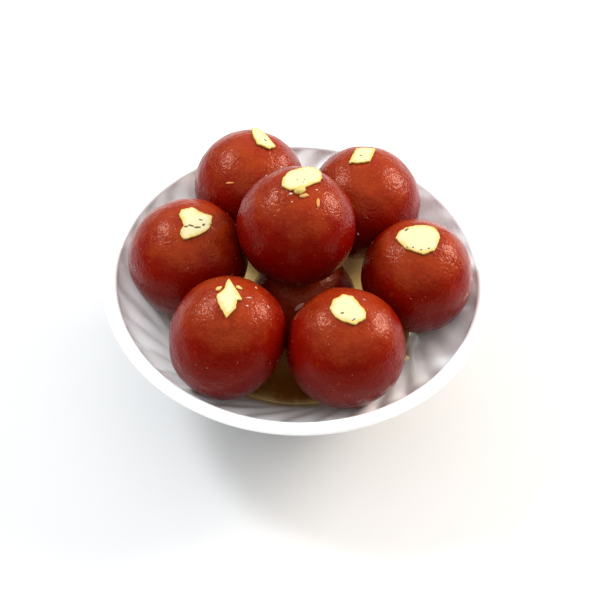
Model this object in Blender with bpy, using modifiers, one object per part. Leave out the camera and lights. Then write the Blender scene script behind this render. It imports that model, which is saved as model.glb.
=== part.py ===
"""Gulab jamun heaped in a white bowl with a pool of syrup.

Shallow flutes swirl down the upper part of the bowl's wall. One round milk sweet
lies on the bowl's floor, six lean on its sloping wall in a ring, and one lies on
top of them. The seven in sight each carry a nut flake.
Metres, +Z up. The origin is on the table, under the middle of the bowl.
"""

import math

import bmesh
import bpy
from mathutils import Vector, noise

# Bowl
RIM_RADIUS = 0.075
BOWL_HEIGHT = 0.047
LIP_WIDTH = 0.0058
LIP_THICKNESS = 0.0034
WALL_EDGE_RADIUS = 0.0695
WALL_EDGE_HEIGHT = 0.0455
WALL_SAG = 0.0015
LIP_DEPTH = 0.0044
OUTSIDE_SAG = 0.0026
FLOOR_RADIUS = 0.020
FLOOR_HEIGHT = 0.0065
FLOOR_BLEND = 0.006
FOOT_RADIUS = 0.0285
FOOT_WIDTH = 0.0045
FOOT_TOP = 0.0035
FOOT_EDGE = 0.0006
RECESS_HEIGHT = 0.002
LIP_FIRST_ANGLE = 150
LIP_LAST_ANGLE = -60
CORNER_STEPS = 2
PLAIN_WALL_STEPS = 2
LIP_STEPS = 7
BELLY_STEPS = 3
WELD_DISTANCE = 0.00001

# Swirling flutes in the upper wall, angles in degrees
FLUTES = 32
FLUTE_DEPTH = 0.0017
FLUTE_RUN = 0.022
FLUTE_END = 0.0015
FLUTE_BEARING = 2.6
FLUTE_SWIRL = 27.0
FLUTE_LEAN = 0.3
FLUTE_STEPS = 4
TURNS_PER_FLUTE = 3
BOWL_TURNS = FLUTES * TURNS_PER_FLUTE

# Syrup
SYRUP_LEVEL = 0.0245
SYRUP_TURNS = 60
SYRUP_STEPS = 3
SYRUP_FILM = 0.0008

# Sweets
GAP = 0.0003
CAGE_CUTS = 7
LUMP_SIZE = 0.016
LUMP_SCALE = 1.3
DIMPLE_SIZE = 0.005
DIMPLE_SCALE = 3.4
SEEDS_PER_METRE = 100
PRESS_DEPTH = 0.0021
WEDGED_LIFT = 0.0036
SAG_DEPTH = 0.0036
SAG_POWER = 1.6

# The ring on the wall: name, bearing in degrees, distance from the axis, diameter
RING = (
    ("rear_left", 116.5, 0.0451, 0.0443),
    ("rear_right", 53.5, 0.0425, 0.0452),
    ("right", -5.5, 0.0457, 0.0434),
    ("left", 177.5, 0.0423, 0.0464),
    ("front_right", -65.5, 0.0450, 0.0450),
    ("front_left", -123.0, 0.0452, 0.0432),
)
WEDGED = "front_left"
LOWER_BEARING = 23.0
LOWER_DISTANCE = 0.0027
LOWER_DIAMETER = 0.0427
TOP_BEARING = 105.0
TOP_DISTANCE = 0.0040
TOP_DIAMETER = 0.0455

# Nut flakes
FLAKE_THICKNESS = 0.0008
FLAKE_LIFT = 0.35
FLAKE_SIDES = 16
FLAKE_MARGIN = 0.45
FLAKE_RAGGED = 0.10
RAGGED_SCALE = 1.7

# Sweet, offset from its crown, bearing of that offset, heading, length, width, roundness
FLAKES = (
    ("top", 0.0055, 71, 56, 0.0180, 0.0122, 2.3),
    ("rear_left", 0.0076, 53, 116, 0.0155, 0.0076, 1.6),
    ("rear_right", 0.0054, 107, 66, 0.0135, 0.0092, 1.6),
    ("left", 0.0036, -33, 64, 0.0152, 0.0129, 1.9),
    ("right", 0.0005, -178, 165, 0.0162, 0.0142, 2.1),
    ("front_left", 0.0009, -75, 94, 0.0184, 0.0093, 1.2),
    ("front_right", 0.0004, 157, 128, 0.0142, 0.0113, 2.0),
)


def clear_scene():
    for item in list(bpy.data.objects):
        bpy.data.objects.remove(item, do_unlink=True)


def new_collection(name):
    collection = bpy.data.collections.new(name)
    bpy.context.scene.collection.children.link(collection)
    return collection


def finish(name, colour, roughness):
    """A Principled material."""
    material = bpy.data.materials.new(name)
    material.use_nodes = True
    shader = material.node_tree.nodes["Principled BSDF"]
    shader.inputs["Base Color"].default_value = (*colour, 1.0)
    shader.inputs["Roughness"].default_value = roughness
    shader.inputs["Metallic"].default_value = 0.0
    return material


def add_object(name, mesh, collection, material):
    item = bpy.data.objects.new(name, mesh)
    mesh.materials.append(material)
    mesh.shade_smooth()
    collection.objects.link(item)
    return item


def polar(bearing, distance, height=0.0):
    angle = math.radians(bearing)
    return Vector((distance * math.cos(angle), distance * math.sin(angle), height))


# The bowl's wall is an arc in section, hollow side up


def arc_through(low, high, sag):
    """Centre (radius, height) and radius of an arc that bulges down and out by sag."""
    run = high[0] - low[0]
    rise = high[1] - low[1]
    chord = math.hypot(run, rise)
    radius = (chord * chord / 4 + sag * sag) / (2 * sag)
    reach = (radius - sag) / chord
    return (low[0] + high[0]) / 2 - rise * reach, (low[1] + high[1]) / 2 + run * reach, radius


def wall_arc():
    """The arc of the inner wall."""
    return arc_through((FLOOR_RADIUS, FLOOR_HEIGHT), (WALL_EDGE_RADIUS, WALL_EDGE_HEIGHT), WALL_SAG)


def wall_radius(height, inset=0.0):
    """Distance of the inner wall from the axis at a height."""
    centre_radius, centre_height, radius = wall_arc()
    drop = height - centre_height
    return centre_radius + math.sqrt((radius - inset) ** 2 - drop * drop)


def wall_height(distance):
    """Height of the inner wall at a distance from the axis."""
    centre_radius, centre_height, radius = wall_arc()
    return centre_height - math.sqrt(radius ** 2 - (distance - centre_radius) ** 2)


def between(first, last, count):
    """Evenly spaced values from first to last, both included."""
    return [first + (last - first) * step / count for step in range(count + 1)]


def bend(start, corner, end, count):
    """Points of a quadratic curve that rounds a corner."""
    points = []
    for t in between(0.0, 1.0, count):
        weights = ((1 - t) ** 2, 2 * t * (1 - t), t * t)
        radius = sum(w * p[0] for w, p in zip(weights, (start, corner, end)))
        height = sum(w * p[1] for w, p in zip(weights, (start, corner, end)))
        points.append((radius, height))
    return points


def hollow_profile(inset, top, steps):
    """Floor, rounded corner and plain wall, from the axis up to a height."""
    floor = FLOOR_HEIGHT + inset
    corner = (wall_radius(floor, inset), floor)
    blend_end = floor + FLOOR_BLEND / 2
    start = (corner[0] - FLOOR_BLEND, floor)
    rounded = bend(start, corner, (wall_radius(blend_end, inset), blend_end), CORNER_STEPS)
    wall = [(wall_radius(height, inset), height) for height in between(blend_end, top, steps)]
    return [(0.0, floor)] + rounded + wall[1:]


def fluted_points():
    """The upper wall, from the foot of the flutes to the wall's edge."""
    reaches = between(FLUTE_RUN, FLUTE_END, FLUTE_STEPS) + [0.0]
    radii = [WALL_EDGE_RADIUS - inward for inward in reaches]
    return [(radius, wall_height(radius)) for radius in radii]


def lip_points():
    """The rounded lip, from its inner edge over the crest to its underside."""
    centre_radius = RIM_RADIUS - LIP_WIDTH / 2
    centre_height = BOWL_HEIGHT - LIP_THICKNESS / 2
    points = []
    for degrees in between(LIP_FIRST_ANGLE, LIP_LAST_ANGLE, LIP_STEPS):
        angle = math.radians(degrees)
        radius = centre_radius + LIP_WIDTH / 2 * math.cos(angle)
        points.append((radius, centre_height + LIP_THICKNESS / 2 * math.sin(angle)))
    return points


def outside_points():
    """The belly, from under the lip down to the foot."""
    top = (WALL_EDGE_RADIUS + LIP_THICKNESS / 2, BOWL_HEIGHT - LIP_DEPTH)
    foot = (FOOT_RADIUS, FOOT_TOP)
    centre_radius, centre_height, radius = arc_through(foot, top, OUTSIDE_SAG)
    first = math.atan2(top[1] - centre_height, top[0] - centre_radius)
    last = math.atan2(foot[1] - centre_height, foot[0] - centre_radius)
    points = []
    for angle in between(first, last, BELLY_STEPS):
        points.append((centre_radius + radius * math.cos(angle), centre_height + radius * math.sin(angle)))
    return points


def foot_points():
    """The foot ring, from its outer side to the middle of the recess."""
    inner = FOOT_RADIUS - FOOT_WIDTH
    return [
        (FOOT_RADIUS, FOOT_EDGE),
        (FOOT_RADIUS - FOOT_EDGE, 0.0),
        (inner, 0.0),
        (inner - FOOT_EDGE, FOOT_EDGE),
        (inner - FOOT_EDGE, RECESS_HEIGHT),
        (0.0, RECESS_HEIGHT),
    ]


def turned(name, profile, turns, collection, material):
    """A profile of (radius, height) points turned round the Z axis."""
    shape = bmesh.new()
    verts = [shape.verts.new((radius, 0.0, height)) for radius, height in profile]
    for first, second in zip(verts, verts[1:]):
        shape.edges.new((first, second))
    mesh = bpy.data.meshes.new(name)
    shape.to_mesh(mesh)
    shape.free()
    item = add_object(name, mesh, collection, material)
    screw = item.modifiers.new("turn", "SCREW")
    screw.axis = "Z"
    screw.angle = math.tau
    screw.steps = turns
    screw.render_steps = turns
    screw.use_merge_vertices = True
    screw.merge_threshold = WELD_DISTANCE
    return item


def swirl(inward):
    """Bearing of a flute's middle, this far in from the wall's edge."""
    share = min(inward / FLUTE_RUN, 1.0)
    return FLUTE_BEARING + FLUTE_SWIRL * (FLUTE_LEAN * share + (1 - FLUTE_LEAN) * share * share)


def flute_depth(inward, angle):
    """How deep the wall is cut, at an angle from the middle of a flute."""
    blunt_end = min(inward / FLUTE_END, 1.0)
    fading = max(0.0, 1 - inward / FLUTE_RUN)
    across = max(0.0, (1 + 2 * math.cos(FLUTES * angle)) / 3)
    return FLUTE_DEPTH * blunt_end * fading * across


def cut_flutes(bowl):
    """Turn the rows of the hollow with the swirl, and sink the flutes into the wall."""
    bpy.context.view_layer.update()
    mesh = bpy.data.meshes.new_from_object(bowl.evaluated_get(bpy.context.evaluated_depsgraph_get()))
    bowl.modifiers.clear()
    bowl.data = mesh
    centre_radius, centre_height, arc_radius = wall_arc()
    for vert in mesh.vertices:
        radius = math.hypot(vert.co.x, vert.co.y)
        angle = math.atan2(vert.co.y, vert.co.x)
        inside = radius < wall_radius(vert.co.z) + WELD_DISTANCE
        inward = max(0.0, WALL_EDGE_RADIUS - radius) if inside else 0.0
        grown = 1 + flute_depth(inward, angle) / arc_radius
        radius = centre_radius + (radius - centre_radius) * grown
        height = centre_height + (vert.co.z - centre_height) * grown
        vert.co = polar(math.degrees(angle) + swirl(inward), radius, height)


def make_bowl(collection, material):
    flutes_foot = wall_height(WALL_EDGE_RADIUS - FLUTE_RUN)
    inside = hollow_profile(0.0, flutes_foot, PLAIN_WALL_STEPS) + fluted_points()[1:]
    profile = inside + lip_points() + outside_points() + foot_points()
    bowl = turned("bowl", profile, BOWL_TURNS, collection, material)
    cut_flutes(bowl)
    return bowl


# Where the sweets lie


def rest_on_wall(bearing, distance, radius):
    """Centre of a ball that touches the wall at this place in plan."""
    centre_radius, centre_height, arc_radius = wall_arc()
    reach = arc_radius - GAP - radius
    drop = math.sqrt(reach * reach - (distance - centre_radius) ** 2)
    return polar(bearing, distance, centre_height - drop)


def rest_on_balls(bearing, distance, radius, settled):
    """Centre of a ball dropped at this place onto the balls below it."""
    centre = polar(bearing, distance)
    for below, below_radius in settled:
        reach = radius + below_radius - PRESS_DEPTH
        aside = math.hypot(below.x - centre.x, below.y - centre.y)
        if aside < reach:
            centre.z = max(centre.z, below.z + math.sqrt(reach * reach - aside * aside))
    return centre


def settle_pile():
    """Centre and radius of each sweet, by name."""
    lower_radius = LOWER_DIAMETER / 2
    lower_height = FLOOR_HEIGHT + SYRUP_FILM + lower_radius
    pile = {"lower": (polar(LOWER_BEARING, LOWER_DISTANCE, lower_height), lower_radius)}
    for name, bearing, distance, diameter in RING:
        centre = rest_on_wall(bearing, distance, diameter / 2)
        if name == WEDGED:
            centre.z += WEDGED_LIFT
        pile[name] = (centre, diameter / 2)
    top_radius = TOP_DIAMETER / 2
    pile["top"] = (rest_on_balls(TOP_BEARING, TOP_DISTANCE, top_radius, pile.values()), top_radius)
    return pile


# The form of one sweet


def sag_of(name, centre, direction):
    """How far the wedged sweet droops towards the wall in this direction."""
    if name != WEDGED:
        return 0.0
    centre_radius, centre_height, _ = wall_arc()
    aside = math.hypot(centre.x, centre.y)
    outward = Vector((centre.x / aside, centre.y / aside, 0.0)) * (aside - centre_radius)
    towards_wall = (outward + Vector((0.0, 0.0, centre.z - centre_height))).normalized()
    return SAG_DEPTH * max(0.0, direction.dot(towards_wall)) ** SAG_POWER


def skin_distance(name, centre, radius, direction):
    """Distance from a sweet's centre to its uneven skin."""
    shift = centre * SEEDS_PER_METRE
    lumps = LUMP_SIZE * noise.noise(direction * LUMP_SCALE + shift)
    dimples = DIMPLE_SIZE * noise.noise(direction * DIMPLE_SCALE - shift)
    return radius * (1 + lumps + dimples) + sag_of(name, centre, direction)


def press_flat(point, name, pile, clearance):
    """Keep a point of one sweet clear of its neighbours and of the wall."""
    centre, radius = pile[name]
    for other, (other_centre, other_radius) in pile.items():
        if other == name:
            continue
        towards = other_centre - centre
        apart = towards.length
        towards.normalize()
        meeting = apart * radius / (radius + other_radius) - clearance / 2
        beyond = (point - centre).dot(towards) - meeting
        if beyond > 0:
            point = point - towards * beyond
    centre_radius, centre_height, arc_radius = wall_arc()
    aside = math.hypot(point.x, point.y)
    across = aside - centre_radius
    drop = point.z - centre_height
    shrink = (arc_radius - clearance) / math.hypot(across, drop)
    if shrink < 1:
        spread = (centre_radius + across * shrink) / aside
        point = Vector((point.x * spread, point.y * spread, centre_height + drop * shrink))
    return point


def round_cage():
    """A cube whose faces are divided evenly and swollen to a unit ball."""
    cage = bmesh.new()
    bmesh.ops.create_cube(cage, size=2.0)
    bmesh.ops.subdivide_edges(cage, edges=cage.edges[:], cuts=CAGE_CUTS, use_grid_fill=True)
    for vert in cage.verts:
        evened = [math.tan(value * math.pi / 4) for value in vert.co]
        vert.co = Vector(evened).normalized()
    return cage


def sweet_mesh(name, pile, extra=0.0):
    """The sweet's form round its own centre, grown by extra all over."""
    centre, radius = pile[name]
    shape = round_cage()
    for vert in shape.verts:
        direction = vert.co.copy()
        point = centre + direction * skin_distance(name, centre, radius, direction)
        vert.co = press_flat(point, name, pile, GAP) - centre + direction * extra
    mesh = bpy.data.meshes.new("jamun_" + name)
    shape.to_mesh(mesh)
    shape.free()
    return mesh


def make_sweet(name, pile, bowl, collection, material):
    item = add_object("jamun_" + name, sweet_mesh(name, pile), collection, material)
    item.location = pile[name][0]
    item.parent = bowl
    return item


# Syrup round the lowest sweet


def make_syrup(pile, bowl, collection, cutters, material):
    profile = hollow_profile(GAP, SYRUP_LEVEL, SYRUP_STEPS) + [(0.0, SYRUP_LEVEL)]
    profile.reverse()
    syrup = turned("syrup", profile, SYRUP_TURNS, collection, material)
    syrup.parent = bowl
    cutter = add_object("syrup_cutter", sweet_mesh("lower", pile, GAP), cutters, material)
    cutter.location = pile["lower"][0]
    cutter.hide_render = True
    cutter.display_type = "WIRE"
    cut = syrup.modifiers.new("room for the lowest sweet", "BOOLEAN")
    cut.operation = "DIFFERENCE"
    cut.solver = "EXACT"
    cut.object = cutter
    return syrup


# Nut flakes, thin shells that follow the sweets' skin


def flake_edge(angle, length, width, roundness, seed):
    """Distance from a flake's middle to its edge at an angle from its length."""
    along = abs(math.cos(angle) / (length / 2)) ** roundness
    across = abs(math.sin(angle) / (width / 2)) ** roundness
    spot = Vector((math.cos(angle), math.sin(angle), seed))
    return (along + across) ** (-1 / roundness) * (1 + FLAKE_RAGGED * noise.noise(spot * RAGGED_SCALE))


def flake_disc():
    """A unit disc of two rings and a middle, facing up."""
    disc = bmesh.new()
    bmesh.ops.create_circle(disc, cap_ends=True, segments=FLAKE_SIDES, radius=1.0)
    bmesh.ops.inset_region(disc, faces=disc.faces[:], thickness=FLAKE_MARGIN, use_boundary=True)
    middle = max(disc.faces, key=lambda face: len(face.verts))
    bmesh.ops.poke(disc, faces=[middle])
    return disc


def make_flake(name, offset, bearing, heading, length, width, roundness, pile, sweet, collection, material):
    centre, radius = pile[name]
    crown = polar(bearing, offset, math.sqrt(radius * radius - offset * offset)).normalized()
    ahead = polar(heading, 1.0)
    along = (ahead - crown * ahead.dot(crown)).normalized()
    across = crown.cross(along)
    shape = flake_disc()
    seed = radius * SEEDS_PER_METRE
    for vert in shape.verts:
        angle = math.atan2(vert.co.y, vert.co.x)
        reach = vert.co.to_2d().length * flake_edge(angle, length, width, roundness, seed)
        spot = crown * radius + (along * math.cos(angle) + across * math.sin(angle)) * reach
        direction = spot.normalized()
        lift = FLAKE_LIFT * reach * reach / (2 * radius)
        vert.co = direction * (skin_distance(name, centre, radius, direction) + GAP + lift)
    mesh = bpy.data.meshes.new("flake_" + name)
    shape.to_mesh(mesh)
    shape.free()
    item = add_object("flake_" + name, mesh, collection, material)
    item.parent = sweet
    shell = item.modifiers.new("thickness", "SOLIDIFY")
    shell.thickness = FLAKE_THICKNESS
    shell.offset = 1.0
    return item


def main():
    clear_scene()
    parts = new_collection("gulab_jamun")
    cutters = new_collection("cutters")
    china = finish("china", (0.90, 0.90, 0.89), 0.12)
    sugar = finish("syrup", (0.42, 0.20, 0.05), 0.10)
    crust = finish("crust", (0.22, 0.04, 0.02), 0.35)
    nut = finish("nut", (0.92, 0.85, 0.55), 0.60)

    bowl = make_bowl(parts, china)
    pile = settle_pile()
    sweets = {name: make_sweet(name, pile, bowl, parts, crust) for name in pile}
    make_syrup(pile, bowl, parts, cutters, sugar)
    for name, *shape in FLAKES:
        make_flake(name, *shape, pile, sweets[name], parts, nut)
    bpy.context.view_layer.update()


main()
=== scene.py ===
"""The looks of a bowl of gulab jamun.

Eight dark fried milk sweets with finely wrinkled skins lie in a glazed white bowl
with a pool of syrup. Cut-nut flakes, crumbs and nut dust lie on the sweets.
"""

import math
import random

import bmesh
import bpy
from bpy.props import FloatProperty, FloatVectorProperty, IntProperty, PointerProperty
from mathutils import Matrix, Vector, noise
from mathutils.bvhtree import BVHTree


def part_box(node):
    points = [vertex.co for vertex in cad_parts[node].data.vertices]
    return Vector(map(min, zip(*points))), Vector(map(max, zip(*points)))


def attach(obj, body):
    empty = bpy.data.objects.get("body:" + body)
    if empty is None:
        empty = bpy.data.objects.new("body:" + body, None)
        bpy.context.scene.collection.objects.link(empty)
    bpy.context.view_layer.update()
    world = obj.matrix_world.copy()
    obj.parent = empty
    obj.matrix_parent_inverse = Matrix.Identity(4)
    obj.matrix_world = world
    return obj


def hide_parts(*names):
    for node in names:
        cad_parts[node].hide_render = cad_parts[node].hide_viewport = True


bl_info = {
    "name": "Gulab Jamun in a Bowl",
    "version": (1, 0, 0),
    "blender": (4, 5, 0),
    "location": "View3D > Sidebar > Gulab Jamun",
    "description": "Finishes the bowl, the syrup, the sweets and their nut flakes",
    "category": "Object",
}

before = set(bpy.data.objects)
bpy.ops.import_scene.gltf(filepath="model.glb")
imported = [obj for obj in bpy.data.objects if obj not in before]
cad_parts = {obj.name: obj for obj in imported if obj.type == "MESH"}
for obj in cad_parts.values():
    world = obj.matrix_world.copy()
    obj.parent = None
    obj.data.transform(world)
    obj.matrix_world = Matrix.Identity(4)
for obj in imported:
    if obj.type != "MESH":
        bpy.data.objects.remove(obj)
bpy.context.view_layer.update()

MM = 0.001
WELD_DISTANCE = 0.00001
JOIN_FACE_ANGLE = math.radians(40)
JOIN_SHAPE_ANGLE = math.radians(60)
PHOTO_SIZE = 600

SWEETS = ("lower", "rear_left", "rear_right", "right", "left", "front_right", "front_left", "top")

# Flake outlines in mm: to the right of its middle, and ahead of it up the photo
FLAKE_OUTLINES = {
    "top": (
        (-7.8, -5.8), (-7.5, -1.9), (-5.3, 1.9), (-2.0, 4.6), (1.2, 7.4), (4.6, 7.9), (6.7, 5.4),
        (7.0, 0.8), (6.2, -2.1), (3.2, -4.8), (0.6, -6.9), (-2.3, -8.1), (-4.8, -8.6),
    ),
    "rear_left": (
        (-3.8, 7.0), (-0.9, 8.1), (1.6, 2.8), (3.9, -1.8), (5.5, -4.3), (3.0, -6.6), (-1.8, -5.1),
        (-3.3, -0.6),
    ),
    "rear_right": (
        (-5.2, -4.8), (-4.0, -0.6), (-2.5, 4.8), (0.2, 5.4), (4.9, 4.9), (3.7, -1.6), (2.9, -4.2),
        (-0.9, -5.4),
    ),
    "left": (
        (-6.0, 2.9), (-5.0, 5.6), (-1.4, 7.0), (1.4, 5.3), (6.4, 4.0), (6.2, 0.9), (5.6, -2.0),
        (3.9, -4.2), (0.7, -6.4), (-3.3, -8.0), (-4.9, -6.1), (-4.7, -4.0), (-3.9, -2.4), (-4.6, -0.4),
    ),
    "right": (
        (-8.7, 0.4), (-7.6, 3.3), (-5.7, 4.6), (-3.4, 6.1), (1.8, 6.7), (5.6, 6.1), (7.7, 2.0),
        (7.2, -1.6), (5.6, -5.5), (1.5, -7.6), (-2.5, -6.4), (-5.8, -4.4),
    ),
    "front_left": (
        (-4.5, 0.6), (-1.8, 3.9), (-1.2, 7.6), (-0.3, 10.0), (1.4, 6.1), (4.9, -0.3), (3.2, -1.4),
        (2.6, -4.8), (-0.4, -8.5), (-2.8, -4.6),
    ),
    "front_right": (
        (-6.4, 0.3), (-5.4, 4.2), (-1.8, 7.2), (1.8, 6.2), (4.0, 2.7), (6.5, -0.8), (6.2, -3.9),
        (2.6, -6.8), (-1.3, -5.7), (-4.6, -3.5),
    ),
}

# Bits beside the flakes: place in the photo, length and width in mm, turn in degrees, kind
BITS = (
    (406, 359, 3.2, 2.6, 20, "pale"),
    (219, 289, 2.6, 1.9, 60, "yellow"),
    (239, 288, 2.4, 1.6, -30, "yellow"),
    (300, 191, 3.0, 4.6, -70, "yellow"),
    (304, 196, 3.6, 1.8, 25, "tan"),
    (318, 203, 4.2, 1.3, 80, "orange"),
    (230, 183, 3.2, 0.9, 0, "orange"),
    (291, 194, 1.6, 1.0, 10, "white"),
    (292, 202, 0.8, 0.6, 0, "white"),
    (317, 190, 0.9, 0.6, 40, "white"),
    (266, 176, 1.0, 0.6, 0, "white"),
    (281, 167, 0.9, 0.5, 30, "white"),
    (256, 288, 1.3, 0.7, 70, "white"),
    (249, 298, 2.4, 0.9, 20, "pink"),
    (247, 306, 1.1, 0.8, 0, "white"),
    (268, 307, 1.6, 0.9, -50, "pink"),
    (256, 319, 0.7, 0.5, 0, "pink"),
    (364, 300, 1.2, 0.7, -40, "pink"),
    (358, 234, 1.4, 0.8, -60, "pink"),
    (299, 307, 4.4, 1.5, 40, "pink"),
)

# Dark marks in the nut: flake, place from its middle in mm, length and width in mm, turn in degrees
NUT_MARKS = (
    ("left", -3.0, -2.8, 1.6, 0.7, 10),
    ("left", -1.2, -2.2, 2.2, 0.8, -15),
    ("left", 1.2, -2.6, 2.4, 0.8, 12),
    ("left", 3.4, -1.0, 1.4, 0.8, 50),
    ("left", 2.2, 1.0, 1.6, 0.5, 0),
    ("right", -4.6, 4.0, 2.0, 0.8, 55),
    ("right", 0.6, -6.0, 0.8, 0.5, 0),
    ("right", 3.4, -5.2, 0.9, 0.5, 20),
    ("right", -2.4, -4.9, 0.8, 0.5, 0),
    ("front_right", -1.9, -2.2, 1.3, 0.7, 5),
    ("front_right", 2.2, -5.0, 1.8, 0.5, 45),
    ("top", -2.2, -3.4, 0.5, 0.4, 0),
    ("top", 0.4, -3.0, 0.5, 0.4, 0),
    ("top", 0.0, -4.6, 0.5, 0.4, 0),
    ("rear_left", 1.2, -2.2, 1.7, 0.6, -60),
    ("rear_right", -0.6, -1.0, 1.2, 0.5, 0),
)


def colour_property(name, description, default):
    return FloatVectorProperty(
        name=name, description=description, subtype="COLOR", size=3, min=0.0, max=1.0, default=default
    )


def length_property(name, description, default):
    return FloatProperty(
        name=name, description=description, unit="LENGTH", min=0.0, default=default, precision=5
    )


def share_property(name, description, default):
    return FloatProperty(name=name, description=description, min=0.0, max=1.0, default=default)


def strength_property(name, description, default, unit="NONE"):
    return FloatProperty(name=name, description=description, unit=unit, min=0.0, default=default)


class BowlSettings(bpy.types.PropertyGroup):
    """The glazed white bowl."""

    glaze: colour_property("Glaze", "Colour of the clean glaze", (0.95, 0.96, 0.96))
    stain: colour_property("Syrup stain", "Glaze wetted by syrup beside the pool", (0.62, 0.46, 0.24))
    stain_height: length_property("Stain height", "How far the stain climbs above the pool", 0.0035)
    roughness: share_property("Glaze roughness", "Roughness of the glaze", 0.16)


class SyrupSettings(bpy.types.PropertyGroup):
    """The pool of sugar syrup."""

    # The darker colour stands both for syrup lying deeper and for painted shade over the front of the pool;
    # the lighter colour stands both for shallow syrup and for painted light over its rear.
    deep_and_shaded: colour_property("Deep syrup", "Colour over the middle of the pool", (0.17, 0.05, 0.004))
    thin_and_lit: colour_property("Thin syrup", "Colour where the pool thins out", (0.96, 0.68, 0.26))
    meniscus: length_property("Meniscus", "How far the pool climbs the wall", 0.0006)
    thin_width: length_property("Thin edge", "Width of the lighter edge", 0.005)


class SweetSettings(bpy.types.PropertyGroup):
    """The fried skins of the sweets."""

    # The colour on top is painted light, lighter and more orange where light falls on the sweets; the dark
    # colour towards the bottom is painted shade, and it also darkens the creases.
    painted_lit_crown: colour_property("Crown", "Skin on top, where the syrup drained off", (0.250, 0.028, 0.0045))
    side: colour_property("Side", "Skin round the middle", (0.160, 0.0028, 0.0003))
    painted_shade: colour_property("Soaked", "Dark skin towards the bottom", (0.138, 0.0010, 0.0002))
    lump_height: length_property("Lump height", "Height of the broad unevenness", 0.00028)
    lump_size: length_property("Lump size", "Width of the broad unevenness", 0.008)
    wrinkle_depth: length_property("Wrinkle depth", "Depth of the fine wrinkles", 0.00007)
    wrinkle_size: length_property("Wrinkle size", "Width of the fine wrinkles", 0.0016)
    roughness: share_property("Skin roughness", "Roughness of the skin", 0.22)


class NutSettings(bpy.types.PropertyGroup):
    """The cut-nut flakes, crumbs and dust."""

    cream: colour_property("Cream", "Middle of a cut face", (0.54, 0.49, 0.28))
    rim: colour_property("Yellow rim", "Edges and ends of a flake", (0.52, 0.38, 0.09))
    mark: colour_property("Brown mark", "Specks and scars of the nut", (0.10, 0.055, 0.02))
    thickness: length_property("Thickness", "Thickness of a flake", 0.0007)
    rim_width: length_property("Rim width", "Width of the yellow rim", 0.0016)
    dust: IntProperty(name="Dust", description="Grains of nut dust on each sweet", min=0, default=26)


class StageSettings(bpy.types.PropertyGroup):
    """Floor, lights and camera."""

    floor: colour_property("Floor", "Colour of the floor", (0.60, 0.60, 0.60))
    sky: strength_property("Sky", "Strength of the even light from above", 1.4)
    low_sky: strength_property("Low sky", "Strength of the light from low down", 0.12)
    left_power: strength_property("Left light", "Power of the cool soft light", 10.0, "POWER")
    right_power: strength_property("Right light", "Power of the warm soft light", 18.0, "POWER")


# Mesh helpers


def finished_object(name, shape, materials, node_slot, *nodes):
    """Turn a bmesh into a piece at the origin that rides on the root body."""
    mesh = bpy.data.meshes.new(name)
    shape.to_mesh(mesh)
    shape.free()
    mesh.shade_smooth()
    piece = bpy.data.objects.new(name, mesh)
    bpy.context.scene.collection.objects.link(piece)
    for material in materials:
        mesh.materials.append(material)
    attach(piece, "root")
    if nodes:
        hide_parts(*nodes)
    return piece


def quads_of_node(node):
    """A merged copy of a node's loose triangles, joined to quads."""
    shape = bmesh.new()
    shape.from_mesh(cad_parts[node].data)
    bmesh.ops.remove_doubles(shape, verts=shape.verts[:], dist=WELD_DISTANCE)
    bmesh.ops.join_triangles(
        shape,
        faces=shape.faces[:],
        angle_face_threshold=JOIN_FACE_ANGLE,
        angle_shape_threshold=JOIN_SHAPE_ANGLE,
    )
    return shape


def add_subdivision(piece, levels):
    smooth = piece.modifiers.new("smooth", "SUBSURF")
    smooth.levels = levels
    smooth.render_levels = levels


def bake_modifiers(piece):
    """Replace a piece's mesh with what its modifiers make of it."""
    bpy.context.view_layer.update()
    shaped = piece.evaluated_get(bpy.context.evaluated_depsgraph_get())
    mesh = bpy.data.meshes.new_from_object(shaped)
    piece.modifiers.clear()
    piece.data = mesh
    return mesh


def surface_tree(*pieces):
    """A tree of all the faces of these pieces, for rays and nearest points."""
    points = []
    faces = []
    for piece in pieces:
        first = len(points)
        points.extend(vert.co.copy() for vert in piece.data.vertices)
        faces.extend([first + index for index in face.vertices] for face in piece.data.polygons)
    return BVHTree.FromPolygons(points, faces)


def set_attribute(mesh, name, values):
    """Store one number per vertex for the materials."""
    attribute = mesh.attributes.new(name, "FLOAT", "POINT")
    attribute.data.foreach_set("value", values)


def smooth_ramp(value, low, high):
    share = min(max((value - low) / (high - low), 0.0), 1.0)
    return share * share * (3 - 2 * share)


# The camera, which also finds the places that the photo shows

CAMERA_PLACE = Vector((0.0, -0.45657, 0.57760))
CAMERA_AIM = Vector((0.001192, -0.012769, 0.047))
CAMERA_ROLL = math.radians(1.856)
CAMERA_LENS = 108.875
SENSOR_WIDTH = 36.0


def camera_axes():
    """Right, up and back of the camera."""
    back = (CAMERA_PLACE - CAMERA_AIM).normalized()
    level = Vector((0.0, 0.0, 1.0)).cross(back).normalized()
    rise = back.cross(level)
    right = level * math.cos(CAMERA_ROLL) + rise * math.sin(CAMERA_ROLL)
    up = rise * math.cos(CAMERA_ROLL) - level * math.sin(CAMERA_ROLL)
    return right, up, back


def sight_line(across, down):
    """Direction from the camera through a place in the photo."""
    right, up, back = camera_axes()
    reach = CAMERA_LENS / SENSOR_WIDTH * PHOTO_SIZE
    middle = PHOTO_SIZE / 2
    return (right * (across - middle) / reach - up * (down - middle) / reach - back).normalized()


# Node helpers


def feed(tree, value, socket):
    """Link a socket, or set its value."""
    if isinstance(value, bpy.types.NodeSocket):
        tree.links.new(value, socket)
    else:
        socket.default_value = value


def add_node(tree, kind, inputs=None, **settings):
    """A shader node with its settings, and its inputs by name or number."""
    node = tree.nodes.new(kind)
    for name, value in settings.items():
        setattr(node, name, value)
    for name, value in (inputs or {}).items():
        feed(tree, value, node.inputs[name])
    return node


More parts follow.
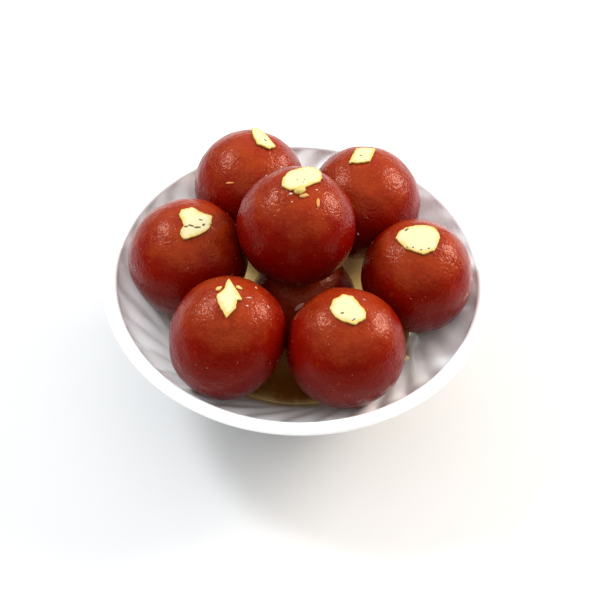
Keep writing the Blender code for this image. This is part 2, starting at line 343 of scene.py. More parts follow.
def mix_colours(tree, factor, first, second):
    """Mix two colours, by socket number because the Mix node repeats its sockets' names."""
    node = add_node(tree, "ShaderNodeMix", {0: factor, 6: first, 7: second}, data_type="RGBA")
    return node.outputs[2]


def ramp(tree, value, low, high, start=0.0, end=1.0):
    """Ease a value between two limits."""
    inputs = {"Value": value, "From Min": low, "From Max": high, "To Min": start, "To Max": end}
    return add_node(tree, "ShaderNodeMapRange", inputs, interpolation_type="SMOOTHSTEP").outputs["Result"]


def calculate(tree, operation, first, second):
    return add_node(tree, "ShaderNodeMath", {0: first, 1: second}, operation=operation).outputs["Value"]


def noise_at(tree, place, size, detail=2.0, roughness=0.5, distortion=0.0):
    """Noise whose features are about this size in metres."""
    inputs = {
        "Vector": place,
        "Scale": 1 / size,
        "Detail": detail,
        "Roughness": roughness,
        "Distortion": distortion,
    }
    return add_node(tree, "ShaderNodeTexNoise", inputs).outputs["Fac"]


def stored_value(tree, name):
    """The number that set_attribute stored under this name."""
    return add_node(tree, "ShaderNodeAttribute", attribute_name=name).outputs["Fac"]


def opaque(colour):
    return (*colour, 1.0)


def new_group(name, inputs, outputs):
    """An empty node group with its sockets."""
    group = bpy.data.node_groups.new(name, "ShaderNodeTree")
    for label, kind, default in inputs:
        socket = group.interface.new_socket(label, in_out="INPUT", socket_type=kind)
        if default is not None:
            socket.default_value = default
    for label, kind in outputs:
        group.interface.new_socket(label, in_out="OUTPUT", socket_type=kind)
    return group, group.nodes.new("NodeGroupInput"), group.nodes.new("NodeGroupOutput")


def specks_group():
    """Scattered specks, one in some of the cells of a cell pattern."""
    name = "scattered specks"
    if name in bpy.data.node_groups:
        return bpy.data.node_groups[name]
    group, given, made = new_group(
        name,
        (
            ("Vector", "NodeSocketVector", None),
            ("Scale", "NodeSocketFloat", 400.0),
            ("Speck Size", "NodeSocketFloat", 0.25),
            ("Share", "NodeSocketFloat", 0.3),
        ),
        (("Mask", "NodeSocketFloat"),),
    )
    inputs = {"Vector": given.outputs["Vector"], "Scale": given.outputs["Scale"]}
    cells = add_node(group, "ShaderNodeTexVoronoi", inputs)
    split = add_node(group, "ShaderNodeSeparateColor", {0: cells.outputs["Color"]})
    chosen = calculate(group, "LESS_THAN", split.outputs[0], given.outputs["Share"])
    size = calculate(group, "MULTIPLY", given.outputs["Speck Size"], split.outputs[1])
    near = calculate(group, "SUBTRACT", size, cells.outputs["Distance"])
    soft = ramp(group, near, low=0.0, high=0.06)
    group.links.new(calculate(group, "MULTIPLY", soft, chosen), made.inputs["Mask"])
    return group


# How much finer the mottle's small patches are, and their share of it
MOTTLE_FINENESS = 7.0
FINE_SHARE = 0.25


def mottle_group():
    """Soft patches broken up by finer ones."""
    name = "soft mottle"
    if name in bpy.data.node_groups:
        return bpy.data.node_groups[name]
    group, given, made = new_group(
        name,
        (
            ("Vector", "NodeSocketVector", None),
            ("Scale", "NodeSocketFloat", 150.0),
            ("Contrast", "NodeSocketFloat", 0.2),
        ),
        (("Mask", "NodeSocketFloat"), ("Fine", "NodeSocketFloat")),
    )
    place = given.outputs["Vector"]
    scale = given.outputs["Scale"]
    broad = add_node(group, "ShaderNodeTexNoise", {"Vector": place, "Scale": scale, "Detail": 3.0})
    finer = calculate(group, "MULTIPLY", scale, MOTTLE_FINENESS)
    fine = add_node(group, "ShaderNodeTexNoise", {"Vector": place, "Scale": finer, "Detail": 2.0})
    low = calculate(group, "SUBTRACT", 0.5, given.outputs["Contrast"])
    high = calculate(group, "ADD", 0.5, given.outputs["Contrast"])
    blend = calculate(group, "MULTIPLY", fine.outputs["Fac"], FINE_SHARE)
    base = calculate(group, "MULTIPLY", broad.outputs["Fac"], 1 - FINE_SHARE)
    both = calculate(group, "ADD", base, blend)
    group.links.new(ramp(group, both, low, high), made.inputs["Mask"])
    group.links.new(fine.outputs["Fac"], made.inputs["Fine"])
    return group


def place_group(tree, group, inputs):
    """A node that stands for a group, with its inputs."""
    node = tree.nodes.new("ShaderNodeGroup")
    node.node_tree = group
    for name, value in inputs.items():
        feed(tree, value, node.inputs[name])
    return node


def start_material(name, roughness):
    """A new material, its tree, its shader and its object coordinates."""
    material = bpy.data.materials.new(name)
    material.use_nodes = True
    tree = material.node_tree
    shader = tree.nodes["Principled BSDF"]
    shader.inputs["Roughness"].default_value = roughness
    place = tree.nodes.new("ShaderNodeTexCoord").outputs["Object"]
    return material, tree, shader, place


def add_bump(tree, shader, height, distance, strength=1.0):
    bump = add_node(tree, "ShaderNodeBump", {"Height": height, "Distance": distance, "Strength": strength})
    tree.links.new(bump.outputs["Normal"], shader.inputs["Normal"])


# Materials

# How far below the pool the stain on the glaze starts, and the height that it takes to appear
STAIN_FOOT = 0.004
STAIN_EASE = 0.0005

# Unevenness and strength of what mottles the skins and the nut
CLOUDINESS = 0.12
PATCHINESS = 0.08
NUT_WANDER = 0.3
ROUGHNESS_SPREAD = 0.06
SKIN_FLECKS = 0.2
SKIN_FLECK_GAIN = 1.35
NUT_FLECKS = 0.7
# Share of painted shade laid into the creases of the skin
CREASE_PAINTED_SHADE = 0.6
SKIN_GLINT = (1.0, 0.50, 0.34)


def china_material(settings, pool_level):
    material, tree, shader, place = start_material("glazed_china", settings.roughness)
    height = add_node(tree, "ShaderNodeSeparateXYZ", {0: place}).outputs["Z"]
    wander = noise_at(tree, place, size=0.006, detail=3.0)
    climb = calculate(tree, "MULTIPLY", wander, settings.stain_height)
    lifted = calculate(tree, "SUBTRACT", height, climb)
    foot = pool_level - STAIN_FOOT
    top = pool_level + settings.stain_height
    above_foot = ramp(tree, lifted, low=foot, high=foot + STAIN_EASE)
    below_top = ramp(tree, lifted, low=pool_level, high=top, start=1.0, end=0.0)
    stain = calculate(tree, "MULTIPLY", below_top, above_foot)
    inside = calculate(tree, "MULTIPLY", stain, stored_value(tree, "hollow"))
    colour = mix_colours(tree, inside, opaque(settings.glaze), opaque(settings.stain))
    tree.links.new(colour, shader.inputs["Base Color"])
    shader.inputs["Coat Weight"].default_value = 0.3
    shader.inputs["Coat Roughness"].default_value = 0.05
    waves = noise_at(tree, place, size=0.012, detail=1.0)
    add_bump(tree, shader, waves, distance=0.00012, strength=0.35)
    return material


def syrup_material(settings):
    material, tree, shader, place = start_material("sugar_syrup", roughness=0.08)
    mottle = place_group(tree, mottle_group(), {"Vector": place, "Scale": 90.0, "Contrast": 0.25})
    cloud = ramp(tree, mottle.outputs["Mask"], low=0.0, high=1.0, start=-CLOUDINESS, end=CLOUDINESS)
    # The stored share darkens the front of the pool as painted shade and lightens its rear as painted light,
    # besides lightening the edge where the syrup thins.
    share = ramp(tree, calculate(tree, "ADD", stored_value(tree, "depth_and_shade"), cloud), low=0.0, high=1.0)
    colour = mix_colours(tree, share, opaque(settings.thin_and_lit), opaque(settings.deep_and_shaded))
    tree.links.new(colour, shader.inputs["Base Color"])
    shader.inputs["Coat Weight"].default_value = 0.5
    shader.inputs["Coat Roughness"].default_value = 0.03
    return material


def crust_material(settings):
    material, tree, shader, place = start_material("fried_skin", settings.roughness)
    mottle = place_group(tree, mottle_group(), {"Vector": place, "Scale": 160.0, "Contrast": 0.16})
    patches = ramp(tree, mottle.outputs["Mask"], low=0.0, high=1.0, start=-PATCHINESS, end=PATCHINESS)
    # Painted light on top and painted shade towards the bottom, with a patchy wander.
    painted_shade = calculate(tree, "ADD", stored_value(tree, "painted_shade_share"), patches)
    below_lit_crown = ramp(tree, painted_shade, low=-0.1, high=0.42)
    upper = mix_colours(tree, below_lit_crown, opaque(settings.painted_lit_crown), opaque(settings.side))
    below_side = ramp(tree, painted_shade, low=0.4, high=1.0)
    skin = mix_colours(tree, below_side, upper, opaque(settings.painted_shade))
    specks = {"Vector": place, "Scale": 520.0, "Speck Size": 0.5, "Share": 0.35}
    fleck = place_group(tree, specks_group(), specks).outputs["Mask"]
    flecked = calculate(tree, "MULTIPLY", fleck, SKIN_FLECKS)
    skin = mix_colours(tree, flecked, skin, opaque(Vector(settings.painted_lit_crown) * SKIN_FLECK_GAIN))
    # Painted shade in the creases of the wrinkles.
    painted_crease_shade = calculate(tree, "MULTIPLY", stored_value(tree, "crease"), CREASE_PAINTED_SHADE)
    skin = mix_colours(tree, painted_crease_shade, skin, opaque(settings.painted_shade))
    tree.links.new(skin, shader.inputs["Base Color"])
    smoothest = settings.roughness - ROUGHNESS_SPREAD
    roughest = settings.roughness + ROUGHNESS_SPREAD
    rough = ramp(tree, mottle.outputs["Fine"], low=0.3, high=0.7, start=smoothest, end=roughest)
    tree.links.new(rough, shader.inputs["Roughness"])
    shader.inputs["Specular IOR Level"].default_value = 0.18
    shader.inputs["Specular Tint"].default_value = opaque(SKIN_GLINT)
    grain = noise_at(tree, place, size=0.0013, detail=1.5, distortion=0.6)
    add_bump(tree, shader, grain, distance=0.00026)
    return material


def nut_material(name, settings, colour, rim):
    """Cut nut: its middle colour, and a rim colour where the piece has a rim."""
    material, tree, shader, place = start_material(name, roughness=0.55)
    mottle = place_group(tree, mottle_group(), {"Vector": place, "Scale": 420.0, "Contrast": 0.22})
    wander = ramp(tree, mottle.outputs["Mask"], low=0.0, high=1.0, start=-NUT_WANDER, end=NUT_WANDER)
    wandering = calculate(tree, "ADD", stored_value(tree, "inward"), wander)
    share = ramp(tree, wandering, low=0.05, high=0.95)
    body = mix_colours(tree, share, opaque(rim), opaque(colour))
    specks = {"Vector": place, "Scale": 640.0, "Speck Size": 0.22, "Share": 0.10}
    fleck = place_group(tree, specks_group(), specks).outputs["Mask"]
    flecked = calculate(tree, "MULTIPLY", fleck, NUT_FLECKS)
    body = mix_colours(tree, flecked, body, opaque(settings.mark))
    tree.links.new(body, shader.inputs["Base Color"])
    grain = noise_at(tree, place, size=0.0011, detail=3.0, roughness=0.6)
    add_bump(tree, shader, grain, distance=0.00018, strength=0.7)
    return material


# Pieces


def inner_wall_radius(tree, height):
    """Distance of the bowl's inner wall from its axis at a height."""
    hit, _, _, _ = tree.ray_cast(Vector((0.0, 0.0, height)), Vector((1.0, 0.0, 0.0)))
    if hit is None:
        raise RuntimeError("The bowl has no wall at this height.")
    return hit.x


# The inner wall's arc in section: its centre, as distance from the axis and height, and its radius
WALL_CENTRE = Vector((-0.15960, 0.28537))
WALL_ARC = 0.33171

# Where the flutes begin and the wall ends, as distance from the axis
FLUTES_FOOT = 0.046
WALL_EDGE = 0.0692

# The most that a flute is sunk into the wall, and what that is multiplied by
DEEPEST_FLUTE = 0.002
FLUTE_GAIN = 1.8

# Part of the glaze that counts as the hollow, by the upward part of its normal
FACING_UP = 0.2


def deepen_flutes(mesh):
    """Sink the flutes again by part of what the smoothing takes off."""
    for vert in mesh.vertices:
        section = Vector((vert.co.to_2d().length, vert.co.z))
        outward = section - WALL_CENTRE
        sunk = outward.length - WALL_ARC
        if FLUTES_FOOT < section.x < WALL_EDGE and 0 < sunk < DEEPEST_FLUTE:
            section += outward.normalized() * sunk * (FLUTE_GAIN - 1)
            around = vert.co.to_2d().normalized() * section.x
            vert.co = (around.x, around.y, section.y)
    mesh.update()


def make_bowl(settings, pool_level):
    """The node's form, smoothed, with its flutes and its hollow marked for the stain."""
    material = china_material(settings, pool_level)
    bowl = finished_object("china_bowl", quads_of_node("bowl"), [material], "china", "bowl")
    add_subdivision(bowl, levels=2)
    mesh = bake_modifiers(bowl)
    deepen_flutes(mesh)
    hollow = [1.0 if normal.vector.z > FACING_UP else 0.0 for normal in mesh.vertex_normals]
    set_attribute(mesh, "hollow", hollow)


# How far the pool's edge reaches into the wall, and the distance over which the painted shade at the front
# and the painted light at the rear meet
POOL_SUNK = 0.4 * MM
POOL_BLEND = 0.012

# Share of the darker colour at the rear and at the edge, where 1 is the full darker colour. The low rear
# share is painted light, so the rear of the pool shows lighter and the front darker as painted shade under
# the sweets; the edge is lighter where the syrup thins.
REAR_PAINTED_SHADE = 0.1
EDGE_DEPTH = 0.55


def make_pool(settings):
    """A pool that meets the wall and stands a little up it."""
    low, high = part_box("syrup")
    tree = surface_tree(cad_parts["bowl"])
    level = high.z
    half_way = (level + low.z) / 2
    edge = inner_wall_radius(tree, level + settings.meniscus)
    # Distance from the axis and height, from the middle of the top to the middle below
    profile = [
        (0.0, level),
        (edge * 0.35, level),
        (edge * 0.62, level),
        (edge - 4.0 * MM, level),
        (edge - 1.8 * MM, level + settings.meniscus * 0.12),
        (edge - 0.8 * MM, level + settings.meniscus * 0.45),
        (edge + POOL_SUNK, level + settings.meniscus * 1.1),
        (inner_wall_radius(tree, level - 2 * MM) + POOL_SUNK, level - 2 * MM),
        (inner_wall_radius(tree, half_way) + POOL_SUNK, half_way),
        (inner_wall_radius(tree, low.z + MM), low.z + 0.6 * MM),
        (0.0, low.z),
    ]
    shape = bmesh.new()
    rim = [shape.verts.new((radius, 0.0, height)) for radius, height in profile]
    edges = [shape.edges.new(pair) for pair in zip(rim, rim[1:])]
    bmesh.ops.spin(
        shape, geom=rim + edges, cent=(0, 0, 0), axis=(0, 0, 1), angle=math.tau, steps=96, use_merge=True
    )
    bmesh.ops.remove_doubles(shape, verts=shape.verts[:], dist=WELD_DISTANCE)
    bmesh.ops.recalc_face_normals(shape, faces=shape.faces[:])
    pool = finished_object("syrup_pool", shape, [syrup_material(settings)], "syrup", "syrup")
    add_subdivision(pool, levels=1)
    mesh = bake_modifiers(pool)
    depth_and_shade = []
    for vert in mesh.vertices:
        radius = vert.co.to_2d().length
        # Painted shade towards the front and painted light towards the rear, times the real lightening at
        # the edge.
        towards_front = smooth_ramp(-vert.co.y, -POOL_BLEND, POOL_BLEND)
        away_from_edge = smooth_ramp(edge - radius, 0.0, settings.thin_width)
        painted_front_shade = REAR_PAINTED_SHADE + (1 - REAR_PAINTED_SHADE) * towards_front
        depth_and_shade.append(painted_front_shade * (EDGE_DEPTH + (1 - EDGE_DEPTH) * away_from_edge))
    set_attribute(mesh, "depth_and_shade", depth_and_shade)


# The smaller lumps beside the broad ones: their size and height as shares
SMALL_LUMP_SIZE = 0.45
SMALL_LUMP_HEIGHT = 0.35

# The wrinkles' bends, and the finer wrinkles beside the main ones. Without the seed, the bends
# would differ on each run.
WRINKLE_SEED = 5
BEND_SIZE = 2.6
BEND_STRENGTH = 0.9
FINE_WRINKLE_SCALE = 1.9
MAIN_WRINKLE_SHARE = 0.7

# Part of the noise on each side of zero that makes a main and a fine wrinkle
MAIN_WRINKLE_WIDTH = 0.40
FINE_WRINKLE_WIDTH = 0.35

# Size of the patches with and without wrinkles, and what stays of the wrinkles in the smoothest
PATCH_SIZE = 0.006
SMOOTHEST_PATCH = 0.35


def skin_relief(place, settings):
    """Height of the skin above its smooth form, and how deep in a wrinkle it lies."""
    broad = noise.noise(place / settings.lump_size)
    medium = noise.noise(place / (settings.lump_size * SMALL_LUMP_SIZE) + Vector((7.1, 3.3, 9.2)))
    bend = noise.noise_vector(place / (settings.wrinkle_size * BEND_SIZE)) * BEND_STRENGTH
    bent = place / settings.wrinkle_size + bend
    main = max(0.0, 1 - abs(noise.noise(bent)) / MAIN_WRINKLE_WIDTH)
    fine_noise = noise.noise(bent * FINE_WRINKLE_SCALE + Vector((4.7, 8.1, 2.9)))
    fine = max(0.0, 1 - abs(fine_noise) / FINE_WRINKLE_WIDTH)
    patchy = smooth_ramp(noise.noise(place / PATCH_SIZE + Vector((1.7, 5.2, 3.8))), -0.5, 0.4)
    crease = main * MAIN_WRINKLE_SHARE + fine * (1 - MAIN_WRINKLE_SHARE)
    crease *= SMOOTHEST_PATCH + (1 - SMOOTHEST_PATCH) * patchy
    lumps = settings.lump_height * (broad + SMALL_LUMP_HEIGHT * medium)
    return lumps - settings.wrinkle_depth * crease, crease


# Smoothing of the sweets, and of the lowest, which is nearly hidden
SWEET_LEVELS = 4
LOWEST_SWEET_LEVELS = 3

# Size and strength of the wander in the painted shade that darkens the skin towards the bottom, and how far
# down it takes to be full
SHADE_PATCH_SIZE = 0.011
SHADE_WANDER = 0.14
SHADE_REACH = 1.2


def make_sweet(name, settings, material):
    """A node's form, subdivided, with lumps and wrinkles."""
    node = "jamun_" + name
    low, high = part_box(node)
    centre = (low + high) / 2
    sweet = finished_object("sweet_" + name, quads_of_node(node), [material], "crust", node)
    add_subdivision(sweet, LOWEST_SWEET_LEVELS if name == "lower" else SWEET_LEVELS)
    mesh = bake_modifiers(sweet)
    painted_shade_shares = []
    creases = []
    for vert in mesh.vertices:
        outward = (vert.co - centre).normalized()
        height, crease = skin_relief(vert.co, settings)
        # Share of painted shade, growing towards the bottom of each sweet.
        wander = SHADE_WANDER * noise.noise(vert.co / SHADE_PATCH_SIZE)
        painted_shade_shares.append(smooth_ramp(1.0 - outward.z + wander, 0.0, SHADE_REACH))
        creases.append(crease)
        vert.co = vert.co + outward * height
    set_attribute(mesh, "painted_shade_share", painted_shade_shares)
    set_attribute(mesh, "crease", creases)


# Points between two of an outline's points, and how round the line goes through them
OUTLINE_STEPS = 5
OUTLINE_ROUNDNESS = 0.14


def spline_through(points):
    """A closed line through points, given as pairs, with slightly rounded corners."""
    line = []
    count = len(points)
    for index in range(count):
        before, start, end, after = (Vector(points[(index + shift) % count]) for shift in (-1, 0, 1, 2))
        lead = (end - before) * OUTLINE_ROUNDNESS
        trail = (after - start) * OUTLINE_ROUNDNESS
        for step in range(OUTLINE_STEPS):
            t = step / OUTLINE_STEPS
            line.append(
                start * (2 * t ** 3 - 3 * t ** 2 + 1) + lead * (t ** 3 - 2 * t ** 2 + t)
                + end * (3 * t ** 2 - 2 * t ** 3) + trail * (t ** 3 - t ** 2)
            )
    return line


def distance_to_line(spot, line):
    """Distance from a spot to a closed line of points."""
    nearest = 1.0
    for start, end in zip(line, line[1:] + line[:1]):
        along = end - start
        share = min(max((spot - start).dot(along) / along.length_squared, 0.0), 1.0)
        nearest = min(nearest, (spot - start - along * share).length)
    return nearest


# Width of the cells that a flake is cut into, and the width and angle of the edges that are softened
FLAKE_CELL = 1.0 * MM
FLAKE_BEVEL = 0.12 * MM
SHARP_ANGLE = math.radians(60)

# How much less than the skin under it a flake bends, as a share
FLAKE_LIFT = 0.35

# Depth and width of the raggedness of a flake's outline, and of the unevenness of its faces
RAGGED_DEPTH = 0.4 * MM
RAGGED_SIZE = 1.1 * MM
UNEVEN_HEIGHT = 0.10 * MM
UNEVEN_SIZE = 2.4 * MM

# Where rays to the skin and to a flake start, clear of what they look for
CLEAR_OF_SKIN = 0.05
CLEAR_OF_FLAKE = 0.01


class FlakeSeat:
    """Where a flake lies: its middle on the skin, its axes, and how it bends."""

    def __init__(self, name):
        low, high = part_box("jamun_" + name)
        flake_low, flake_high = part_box("flake_" + name)
        centre = (low + high) / 2
        middle = (flake_low + flake_high) / 2
        self.up = (middle - centre).normalized()
        ahead = Vector((0.0, 1.0, 0.0))
        self.ahead = (ahead - self.up * ahead.dot(self.up)).normalized()
        self.side = self.ahead.cross(self.up)
        skin = surface_tree(bpy.data.objects["sweet_" + name])
        self.foot, _, _, _ = skin.ray_cast(centre + self.up * CLEAR_OF_SKIN, -self.up)
        self.bend = (1 - FLAKE_LIFT) / (self.foot - centre).length

    def place(self, across, along, height):
        """A point above the flake's seat, with the bend of the skin under it."""
        drop = (across * across + along * along) * self.bend / 2
        return self.foot + self.side * across + self.ahead * along + self.up * (height - drop)


def make_flake(name, settings, material):
    """A thin cut slice with an uneven face and softened edges."""
    line = [point * MM for point in spline_through(FLAKE_OUTLINES[name])]
    for point in line:
        ragged = noise.noise(Vector((point.x, point.y, 0.0)) / RAGGED_SIZE)
        point += point.normalized() * RAGGED_DEPTH * ragged
    shape = bmesh.new()
    shape.faces.new([shape.verts.new((point.x, point.y, 0.0)) for point in line])
    for axis in (0, 1):
        normal = Vector((0.0, 0.0, 0.0))
        normal[axis] = 1.0
        last_cell = int(max(abs(point[axis]) for point in line) / FLAKE_CELL)
        for step in range(-last_cell, last_cell + 1):
            everything = shape.verts[:] + shape.edges[:] + shape.faces[:]
            cut = normal * step * FLAKE_CELL
            bmesh.ops.bisect_plane(shape, geom=everything, plane_co=cut, plane_no=normal)
    made = bmesh.ops.extrude_face_region(shape, geom=shape.faces[:])
    top = [item for item in made["geom"] if isinstance(item, bmesh.types.BMVert)]
    bmesh.ops.translate(shape, verts=top, vec=(0.0, 0.0, settings.thickness))
    bmesh.ops.recalc_face_normals(shape, faces=shape.faces[:])
    sharp = [edge for edge in shape.edges if edge.is_manifold and edge.calc_face_angle() > SHARP_ANGLE]
    bmesh.ops.bevel(
        shape, geom=sharp, offset=FLAKE_BEVEL, affect="EDGES", segments=2, profile=0.5, material=-1
    )
    seat = FlakeSeat(name)
    inward = []
    for vert in shape.verts:
        spot = vert.co.to_2d()
        inward.append(min(distance_to_line(spot, line) / settings.rim_width, 1.0))
        uneven = UNEVEN_HEIGHT * noise.noise(Vector((spot.x, spot.y, len(name) * MM)) / UNEVEN_SIZE)
        vert.co = seat.place(spot.x, spot.y, vert.co.z + uneven)
    flake = finished_object("nut_flake_" + name, shape, [material], "nut", "flake_" + name)
    set_attribute(flake.data, "inward", inward)


# Depth and closeness of the chips in a crumb, and how far its middle lies above the surface
CHIP_DEPTH = 0.45
CHIP_SCALE = 2.6
CRUMB_LIFT = 0.25

# Height of a bit as a share of its width, and of a mark above the nut
BIT_HEIGHT = 0.55
MARK_HEIGHT = 0.24 * MM

# The dust: seed, lowest and highest place on a sweet, least and most size, and most length
DUST_SEED = 11
DUST_PLACES = (-0.15, 0.97)
DUST_SIZES = (0.14 * MM, 0.32 * MM)
DUST_LENGTH = 1.9
DUST_HEIGHT = 0.7


def crumb(shape, foot, normal, turn, size, seed):
    """An irregular bit that lies on a surface, as new vertices of the shape."""
    length, width, height = size
    made = bmesh.ops.create_icosphere(shape, subdivisions=2, radius=0.5)
    level = normal.orthogonal().normalized()
    basis = Matrix((level, normal.cross(level), normal)).transposed() @ Matrix.Rotation(turn, 3, "Z")
    for vert in made["verts"]:
        chip = noise.noise(vert.co * CHIP_SCALE + Vector((seed, seed * 1.7, 0.0)))
        chipped = vert.co * (1 + CHIP_DEPTH * chip)
        lifted = (chipped.z + CRUMB_LIFT) * height
        vert.co = foot + basis @ Vector((chipped.x * length, chipped.y * width, lifted))
    return made["verts"]


def photo_basis_turn(normal, turn):
    """Angle about the normal that lays a bit's length at this turn in the photo."""
    right, up, _ = camera_axes()
    wanted = right * math.cos(turn) + up * math.sin(turn)
    level = normal.orthogonal().normalized()
    return math.atan2(wanted.dot(normal.cross(level)), wanted.dot(level))


def rimless_object(name, shape, materials):
    """A piece of nut without a yellow rim."""
    piece = finished_object(name, shape, materials, "nut")
    set_attribute(piece.data, "inward", [1.0] * len(piece.data.vertices))


def make_bits(materials):
    """Nut crumbs beside the flakes, each kind in a colour of its own."""
    sweets = [bpy.data.objects["sweet_" + name] for name in SWEETS]
    tree = surface_tree(*sweets, bpy.data.objects["china_bowl"])
    kinds = list(materials)
    shape = bmesh.new()
    for index, (across, down, length, width, turn, kind) in enumerate(BITS):
        foot, normal, _, _ = tree.ray_cast(CAMERA_PLACE, sight_line(across, down))
        if foot is None:
            raise RuntimeError("A crumb has nothing to lie on.")
        angle = photo_basis_turn(normal, math.radians(turn))
        size = (length * MM, width * MM, width * BIT_HEIGHT * MM)
        verts = crumb(shape, foot, normal, angle, size, index)
        for face in {face for vert in verts for face in vert.link_faces}:
            face.material_index = kinds.index(kind)
    rimless_object("nut_crumbs", shape, list(materials.values()))


def make_marks(material):
    """Dark scars and specks in the faces of the flakes."""
    shape = bmesh.new()
    seats = {}
    for index, (name, across, along, length, width, turn) in enumerate(NUT_MARKS):
        if name not in seats:
            flake = bpy.data.objects["nut_flake_" + name]
            seats[name] = (FlakeSeat(name), surface_tree(flake))
        seat, tree = seats[name]
        above = seat.place(across * MM, along * MM, CLEAR_OF_FLAKE)
        foot, normal, _, _ = tree.ray_cast(above, -seat.up)
        if foot is None:
            raise RuntimeError("A mark lies beside its flake.")
        angle = photo_basis_turn(normal, math.radians(turn))
        crumb(shape, foot, normal, angle, (length * MM, width * MM, MARK_HEIGHT), index)
    rimless_object("nut_marks", shape, [material])


def make_dust(settings, material):
    """Fine grains scattered over the upper halves of the sweets, apart from the lowest."""
    rng = random.Random(DUST_SEED)
    shape = bmesh.new()
    for name in SWEETS[1:]:
        low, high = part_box("jamun_" + name)
        centre = (low + high) / 2
        tree = surface_tree(bpy.data.objects["sweet_" + name])
        for _ in range(settings.dust):
            height = rng.uniform(*DUST_PLACES)
            bearing = rng.uniform(0.0, math.tau)
            ring = math.sqrt(1 - height * height)
            outward = Vector((ring * math.cos(bearing), ring * math.sin(bearing), height))
            foot, normal, _, _ = tree.ray_cast(centre + outward * CLEAR_OF_SKIN, -outward)
            width = rng.uniform(*DUST_SIZES)
            turn = rng.uniform(0, math.pi)
            length = width * rng.uniform(1.0, DUST_LENGTH)
            crumb(shape, foot, normal, turn, (length, width, width * DUST_HEIGHT), rng.random() * 9)
    rimless_object("nut_dust", shape, [material])


# Stage

SKY_DIRECTION = (0.0, 0.05, 0.99)
SKY_RANGE = (0.1, 0.7)
LIGHT_TARGET = Vector((0.0, 0.0, 0.05))
LIGHT_DISTANCE = 1.2
FLOOR_REACH = 4.0
FLOOR_PATCH_SHADE = 0.985


def add_light(name, towards, width, height, power, colour):
    """A soft area light that looks at the bowl from this direction."""
    lamp = bpy.data.lights.new(name, "AREA")
    lamp.shape = "RECTANGLE"
    lamp.size = width
    lamp.size_y = height
    lamp.energy = power
    lamp.color = colour
    light = bpy.data.objects.new(name, lamp)
    towards = Vector(towards).normalized()
    turned = towards.to_track_quat("Z", "Y").to_matrix().to_4x4()
    light.matrix_world = Matrix.Translation(LIGHT_TARGET + towards * LIGHT_DISTANCE) @ turned
    bpy.context.scene.collection.objects.link(light)


def add_camera():
    lens = bpy.data.cameras.new("photo_camera")
    lens.lens = CAMERA_LENS
    lens.sensor_width = SENSOR_WIDTH
    lens.sensor_fit = "HORIZONTAL"
    lens.clip_start = 0.01
    camera = bpy.data.objects.new("photo_camera", lens)
    right, up, back = camera_axes()
    turned = Matrix((right, up, back)).transposed().to_4x4()
    camera.matrix_world = Matrix.Translation(CAMERA_PLACE) @ turned
    bpy.context.scene.collection.objects.link(camera)
    bpy.context.scene.camera = camera


def add_floor(settings):
    shape = bmesh.new()
    bmesh.ops.create_grid(shape, x_segments=2, y_segments=2, size=FLOOR_REACH)
    mesh = bpy.data.meshes.new("floor")
    shape.to_mesh(mesh)
    shape.free()
    floor = bpy.data.objects.new("floor", mesh)
    material, tree, shader, place = start_material("pale_floor", roughness=0.8)
    paper = place_group(tree, mottle_group(), {"Vector": place, "Scale": 9.0, "Contrast": 0.4})
    patch = opaque(Vector(settings.floor) * FLOOR_PATCH_SHADE)
    shade = mix_colours(tree, paper.outputs["Mask"], opaque(settings.floor), patch)
    tree.links.new(shade, shader.inputs["Base Color"])
    mesh.materials.append(material)
    bpy.context.scene.collection.objects.link(floor)


def add_world(settings):
    """Even light from above, and little from low down, which keeps the sweets a dark red."""
    world = bpy.data.worlds.new("studio")
    world.use_nodes = True
    tree = world.node_tree
    sky = tree.nodes["Background"]
    direction = tree.nodes.new("ShaderNodeTexCoord").outputs["Generated"]
    lean = add_node(tree, "ShaderNodeVectorMath", {0: direction, 1: SKY_DIRECTION}, operation="DOT_PRODUCT")
    strength = ramp(tree, lean.outputs["Value"], *SKY_RANGE, settings.low_sky, settings.sky)
    tree.links.new(strength, sky.inputs["Strength"])
    sky.inputs["Color"].default_value = (1.0, 1.0, 1.0, 1.0)
    bpy.context.scene.world = world


# Operators


class GULAB_OT_bowl(bpy.types.Operator):
    """Finish the bowl in white glaze"""

    bl_idname = "gulab.bowl"
    bl_label = "Glazed Bowl"

    def execute(self, context):
        make_bowl(context.scene.gulab_bowl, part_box("syrup")[1].z)
        return {"FINISHED"}


class GULAB_OT_syrup(bpy.types.Operator):
    """Pour the pool of syrup"""

    bl_idname = "gulab.syrup"
    bl_label = "Syrup Pool"

    def execute(self, context):
        make_pool(context.scene.gulab_syrup)
        return {"FINISHED"}


class GULAB_OT_sweets(bpy.types.Operator):
    """Wrinkle and colour the skins of the eight sweets"""

    bl_idname = "gulab.sweets"
    bl_label = "Fried Sweets"

    def execute(self, context):
        settings = context.scene.gulab_sweets
        material = crust_material(settings)
        noise.seed_set(WRINKLE_SEED)
        for name in SWEETS:
            make_sweet(name, settings, material)
        return {"FINISHED"}


class GULAB_OT_flakes(bpy.types.Operator):
    """Lay the cut-nut flakes on the sweets"""

    bl_idname = "gulab.flakes"
    bl_label = "Nut Flakes"

    def execute(self, context):
        settings = context.scene.gulab_nuts
        material = nut_material("cut_nut", settings, settings.cream, settings.rim)
        for name in FLAKE_OUTLINES:
            make_flake(name, settings, material)
        make_marks(nut_material("nut_scar", settings, settings.mark, settings.mark))
        return {"FINISHED"}


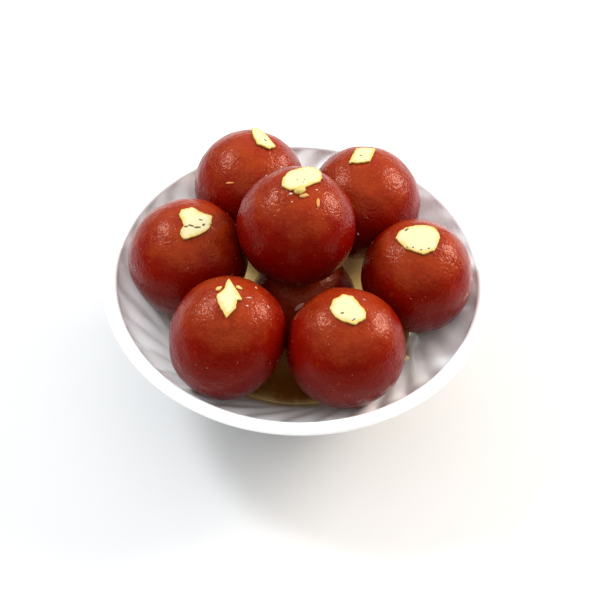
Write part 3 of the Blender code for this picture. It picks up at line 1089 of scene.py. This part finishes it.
class GULAB_OT_crumbs(bpy.types.Operator):
    """Scatter the crumbs and the nut dust"""

    bl_idname = "gulab.crumbs"
    bl_label = "Crumbs and Dust"

    def execute(self, context):
        settings = context.scene.gulab_nuts
        colours = {
            "pale": (0.95, 0.78, 0.36),
            "yellow": settings.rim,
            "tan": (0.52, 0.26, 0.07),
            "orange": (0.60, 0.20, 0.03),
            "white": (0.55, 0.34, 0.24),
            "pink": (0.45, 0.20, 0.14),
        }
        materials = {
            kind: nut_material("crumb_" + kind, settings, colour, colour) for kind, colour in colours.items()
        }
        make_bits(materials)
        make_dust(settings, materials["pink"])
        return {"FINISHED"}


class GULAB_OT_stage(bpy.types.Operator):
    """Set up the floor, the lights and the camera"""

    bl_idname = "gulab.stage"
    bl_label = "Stage"

    def execute(self, context):
        settings = context.scene.gulab_stage
        add_floor(settings)
        add_world(settings)
        add_light(
            "left_softbox",
            towards=(-0.63, 0.34, 0.70),
            width=0.28,
            height=0.26,
            power=settings.left_power,
            colour=(0.90, 0.95, 1.0),
        )
        add_light(
            "right_softbox",
            towards=(0.80, 0.42, 0.44),
            width=0.50,
            height=0.50,
            power=settings.right_power,
            colour=(1.0, 0.88, 0.77),
        )
        add_camera()
        context.scene.view_settings.view_transform = "Standard"
        return {"FINISHED"}


class GULAB_PT_panel(bpy.types.Panel):
    """Buttons for the bowl of gulab jamun"""

    bl_idname = "GULAB_PT_panel"
    bl_label = "Gulab Jamun"
    bl_space_type = "VIEW_3D"
    bl_region_type = "UI"
    bl_category = "Gulab Jamun"

    def draw(self, context):
        column = self.layout.column(align=True)
        for operator in OPERATORS:
            column.operator(operator.bl_idname)


OPERATORS = (
    GULAB_OT_bowl,
    GULAB_OT_syrup,
    GULAB_OT_sweets,
    GULAB_OT_flakes,
    GULAB_OT_crumbs,
    GULAB_OT_stage,
)
SETTINGS = {
    "gulab_bowl": BowlSettings,
    "gulab_syrup": SyrupSettings,
    "gulab_sweets": SweetSettings,
    "gulab_nuts": NutSettings,
    "gulab_stage": StageSettings,
}


def register():
    for name, settings in SETTINGS.items():
        bpy.utils.register_class(settings)
        setattr(bpy.types.Scene, name, PointerProperty(type=settings))
    for operator in OPERATORS:
        bpy.utils.register_class(operator)
    bpy.utils.register_class(GULAB_PT_panel)


def unregister():
    bpy.utils.unregister_class(GULAB_PT_panel)
    for operator in reversed(OPERATORS):
        bpy.utils.unregister_class(operator)
    for name, settings in SETTINGS.items():
        delattr(bpy.types.Scene, name)
        bpy.utils.unregister_class(settings)


def main():
    register()
    bpy.ops.gulab.bowl()
    bpy.ops.gulab.syrup()
    bpy.ops.gulab.sweets()
    bpy.ops.gulab.flakes()
    bpy.ops.gulab.crumbs()
    bpy.ops.gulab.stage()
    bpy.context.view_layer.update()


if __name__ == "__main__":
    main()
